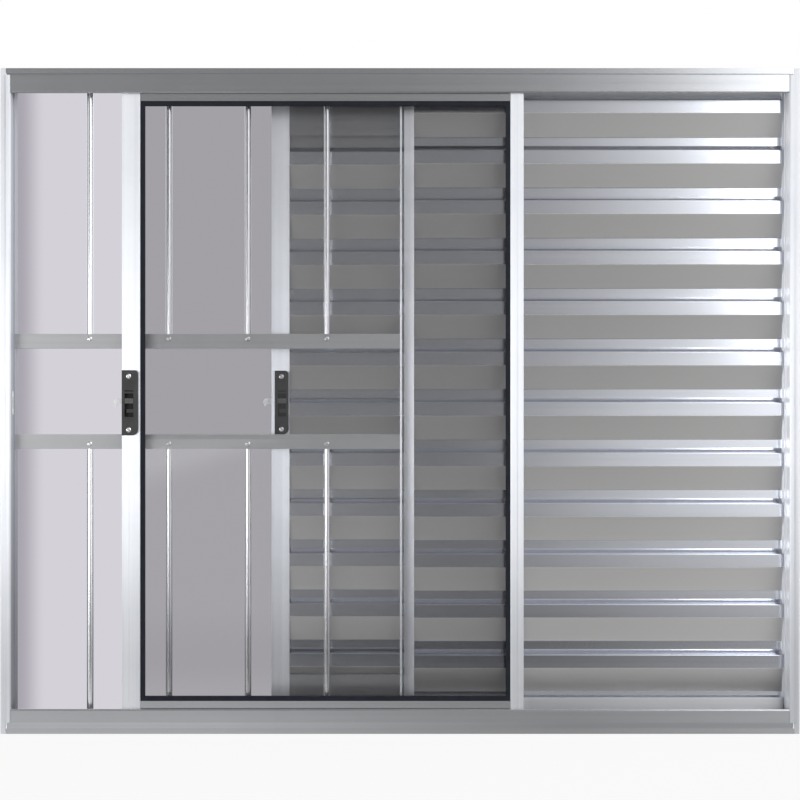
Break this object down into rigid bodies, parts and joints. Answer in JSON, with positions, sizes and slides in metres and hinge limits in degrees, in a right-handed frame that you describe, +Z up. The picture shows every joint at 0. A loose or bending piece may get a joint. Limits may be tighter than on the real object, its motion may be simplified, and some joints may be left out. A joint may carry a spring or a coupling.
{
  "type": "louvred shutter window",
  "caption": "Sliding aluminium window with a clear glass leaf in front, louvred shutter leaves behind and a barred guard between them, seen from the room",
  "frame": {"origin": "on the wall side of the sill's flange, halfway along the window and halfway up the flange", "axes": "+X to the right seen from the room, +Y from the room to the outside, +Z up"},
  "size_m": [1.2, 0.101, 1],
  "materials": {
    "bright_aluminium": "bright mill finish with fine lengthwise extrusion lines",
    "slat_aluminium": "satin mill finish",
    "clear_glass": "clear float glass",
    "black_rubber": "matte black gasket",
    "black_plastic": "fine grained black moulding",
    "grey_plastic": "dark grey moulding",
    "bright_steel": "bright plated steel",
    "roller_plastic": "pale nylon"
  },
  "bodies": {
    "root": {"sill": "bright_aluminium", "head": "bright_aluminium", "left_jamb": "bright_aluminium", "right_jamb": "bright_aluminium", "fixed_leaf_left_stile": "bright_aluminium", "fixed_leaf_side_plate": "bright_aluminium", "fixed_leaf_top_rail": "bright_aluminium", "fixed_leaf_bottom_rail": "bright_aluminium", "fixed_leaf_slats": "slat_aluminium", "shutter_leaf_left_stile": "bright_aluminium", "shutter_leaf_right_stile": "bright_aluminium", "shutter_leaf_top_rail": "bright_aluminium", "shutter_leaf_bottom_rail": "bright_aluminium", "shutter_leaf_slats": "slat_aluminium", "shutter_leaf_rollers": "roller_plastic", "glass_leaf_left_stile": "bright_aluminium", "glass_leaf_meeting_stile": "bright_aluminium", "glass_leaf_top_rail": "bright_aluminium", "glass_leaf_bottom_rail": "bright_aluminium", "glass_pane": "clear_glass", "glass_side_gaskets": "black_rubber", "glass_cross_gaskets": "black_rubber", "glass_leaf_rollers": "roller_plastic", "glass_lock_body": "black_plastic", "glass_lock_slider": "grey_plastic", "glass_lock_hook": "bright_steel", "glass_lock_screws": "bright_steel", "shutter_lock_body": "black_plastic", "shutter_lock_slider": "grey_plastic", "shutter_lock_hook": "bright_steel", "shutter_lock_screws": "bright_steel", "glass_keeper": "bright_steel", "shutter_keeper": "bright_steel", "jamb_screw": "bright_steel", "grille_upper_rail": "bright_aluminium", "grille_lower_rail": "bright_aluminium", "grille_upper_bars": "bright_aluminium", "grille_lower_bars": "bright_aluminium", "grille_screws": "bright_steel", "centre_upright": "bright_aluminium"}
  },
  "joints": []
}
